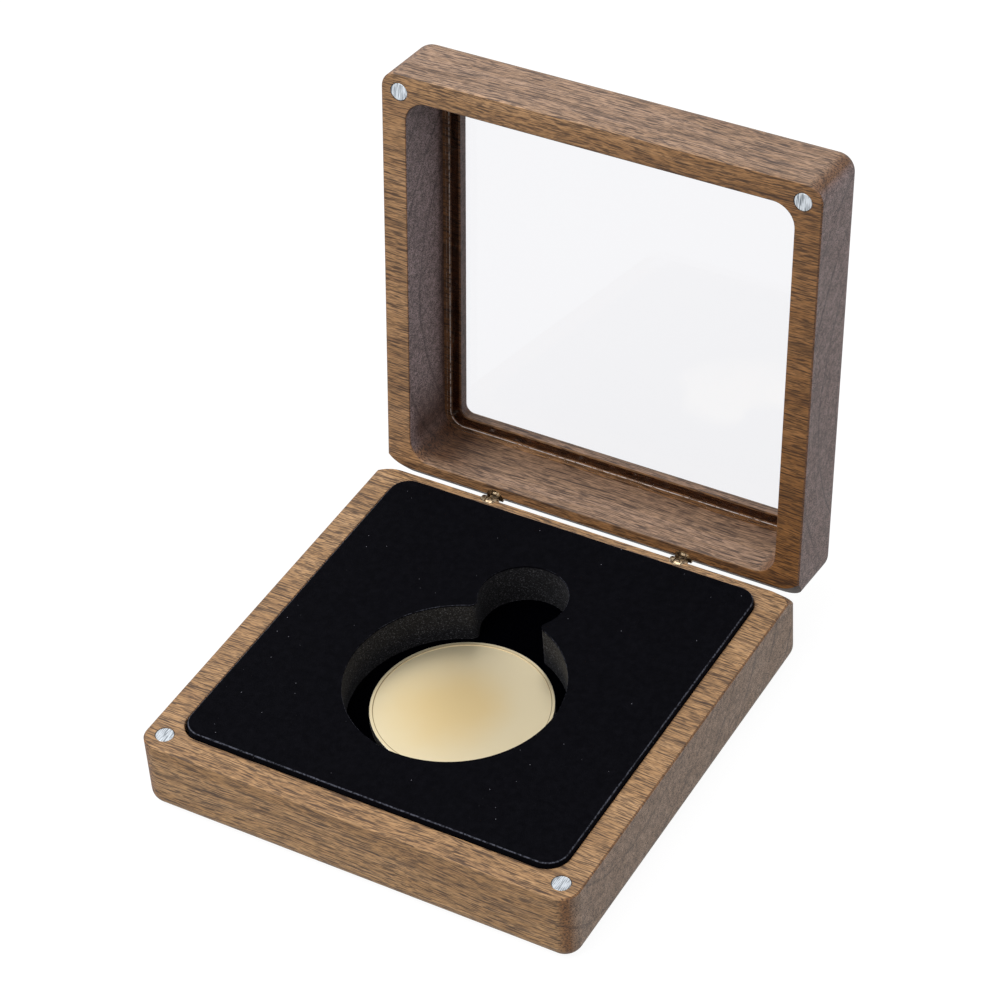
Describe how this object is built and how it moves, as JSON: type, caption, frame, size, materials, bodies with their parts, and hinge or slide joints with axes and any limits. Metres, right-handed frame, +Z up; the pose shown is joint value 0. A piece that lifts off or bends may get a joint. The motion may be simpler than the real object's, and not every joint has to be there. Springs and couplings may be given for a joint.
{
  "type": "coin display case",
  "caption": "Square hinged wooden case with a windowed lid, magnetic corners and a velvet insert that holds a coin in a round recess.",
  "frame": {"origin": "centre of the base's underside", "axes": "+Z up, +Y from the front edge to the hinges, +X to the right seen from the front"},
  "size_m": [0.1, 0.1275, 0.1125],
  "materials": {
    "walnut": "bare sanded walnut, grain along X",
    "black_velvet": "short pile",
    "black_foam": "cut foam",
    "black_liner": "flat felt",
    "pale_gold": "satin, polished rim",
    "nickel_plate": "ground and plated",
    "hinge_brass": "turned, dulled",
    "clear_pane": "clear, polished",
    "clear_glue": "cured clear glue"
  },
  "bodies": {
    "base": {"base_block": "walnut", "insert_pad": "black_foam", "recess_floor": "black_liner", "insert_foam": "black_foam", "velvet_cover": "black_velvet", "base_magnet_left": "nickel_plate", "base_magnet_right": "nickel_plate", "left_hinge_base_barrel": "hinge_brass", "left_hinge_base_pin": "hinge_brass", "right_hinge_base_barrel": "hinge_brass", "right_hinge_base_pin": "hinge_brass"},
    "hinge_leaves": {"left_hinge_leaf_1": "hinge_brass", "left_hinge_leaf_2": "hinge_brass", "left_hinge_leaf_3": "hinge_brass", "right_hinge_leaf_1": "hinge_brass", "right_hinge_leaf_2": "hinge_brass", "right_hinge_leaf_3": "hinge_brass"},
    "lid": {"lid_frame": "walnut", "window_pane": "clear_pane", "pane_adhesive": "clear_glue", "lid_magnet_left": "nickel_plate", "lid_magnet_right": "nickel_plate", "left_hinge_lid_barrel": "hinge_brass", "left_hinge_lid_pin": "hinge_brass", "right_hinge_lid_barrel": "hinge_brass", "right_hinge_lid_pin": "hinge_brass"},
    "coin": {"coin_blank": "pale_gold"}
  },
  "joints": [
    {"name": "leaf_swing", "type": "hinge", "parent": "base", "child": "hinge_leaves", "pos_m": [0, 0.0473, 0.01575], "axis": [1, 0, 0], "range_deg": [0, 90]},
    {"name": "lid_tilt", "type": "hinge", "parent": "hinge_leaves", "child": "lid", "pos_m": [0, 0.05085, 0.01575], "axis": [1, 0, 0], "range_deg": [0, 6.75]},
    {"name": "coin_lift", "type": "slide", "parent": "base", "child": "coin", "axis": [0, 0, 1], "range_m": [0, 0.01]}
  ],
  "couplings": [
    {"joint": "lid_tilt", "follows": "leaf_swing", "ratio": 0.075}
  ]
}
